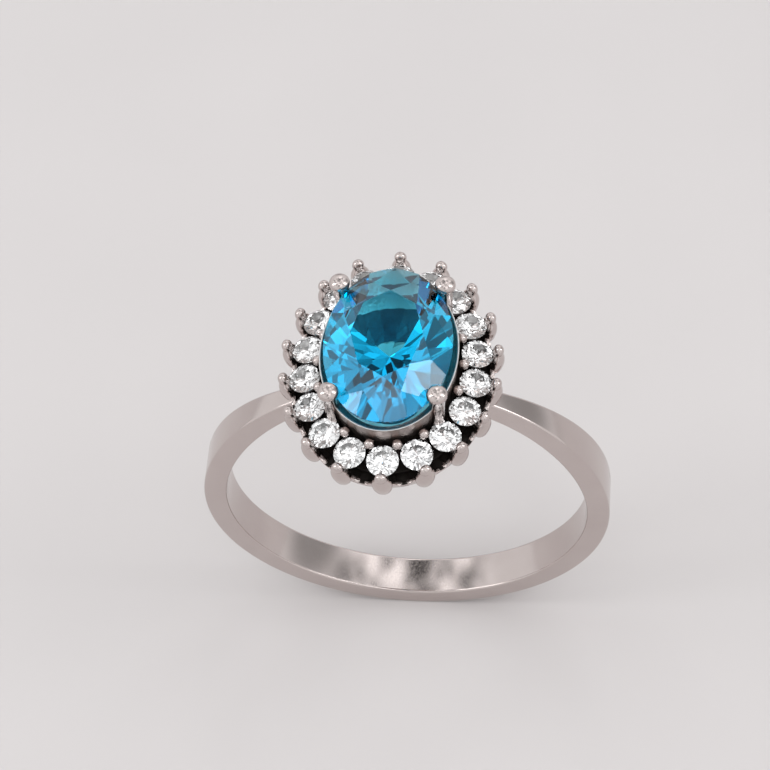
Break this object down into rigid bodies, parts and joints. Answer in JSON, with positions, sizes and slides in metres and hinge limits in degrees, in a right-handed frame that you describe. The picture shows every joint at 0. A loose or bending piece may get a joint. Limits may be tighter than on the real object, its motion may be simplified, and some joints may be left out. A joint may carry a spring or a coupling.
{
  "type": "cocktail ring",
  "caption": "Halo cocktail ring: oval blue centre stone in domed claws, ringed by small round stones with beaded claws, on a slim square-edged band that narrows to the head.",
  "frame": {"origin": "centre of the finger hole, midway along the finger", "axes": "+Z from the finger to the centre stone, +Y along the finger, +X across the finger"},
  "size_m": [0.0198, 0.0122, 0.0238],
  "materials": {
    "polished_silver": "mirror-polished sterling silver with a rhodium plate",
    "blue_topaz": "polished facets, transparent Swiss blue",
    "cubic_zirconia": "polished facets, clear and colourless"
  },
  "bodies": {
    "root": {"shank": "polished_silver", "saddle": "polished_silver", "gallery": "polished_silver", "seat_ring": "polished_silver", "centre_collet": "polished_silver", "centre_claw_front_left": "polished_silver", "centre_claw_front_right": "polished_silver", "centre_claw_back_right": "polished_silver", "centre_claw_back_left": "polished_silver", "centre_stone": "blue_topaz", "halo_claw_01": "polished_silver", "halo_stone_01": "cubic_zirconia", "halo_claw_02": "polished_silver", "halo_stone_02": "cubic_zirconia", "halo_claw_03": "polished_silver", "halo_stone_03": "cubic_zirconia", "halo_claw_04": "polished_silver", "halo_stone_04": "cubic_zirconia", "halo_claw_05": "polished_silver", "halo_stone_05": "cubic_zirconia", "halo_claw_06": "polished_silver", "halo_stone_06": "cubic_zirconia", "halo_claw_07": "polished_silver", "halo_stone_07": "cubic_zirconia", "halo_claw_08": "polished_silver", "halo_stone_08": "cubic_zirconia", "halo_claw_09": "polished_silver", "halo_stone_09": "cubic_zirconia", "halo_claw_10": "polished_silver", "halo_stone_10": "cubic_zirconia", "halo_claw_11": "polished_silver", "halo_stone_11": "cubic_zirconia", "halo_claw_12": "polished_silver", "halo_stone_12": "cubic_zirconia", "halo_claw_13": "polished_silver", "halo_stone_13": "cubic_zirconia", "halo_claw_14": "polished_silver", "halo_stone_14": "cubic_zirconia", "halo_claw_15": "polished_silver", "halo_stone_15": "cubic_zirconia", "halo_claw_16": "polished_silver", "halo_stone_16": "cubic_zirconia", "halo_claw_17": "polished_silver", "halo_stone_17": "cubic_zirconia", "halo_claw_18": "polished_silver", "halo_stone_18": "cubic_zirconia"}
  },
  "joints": []
}
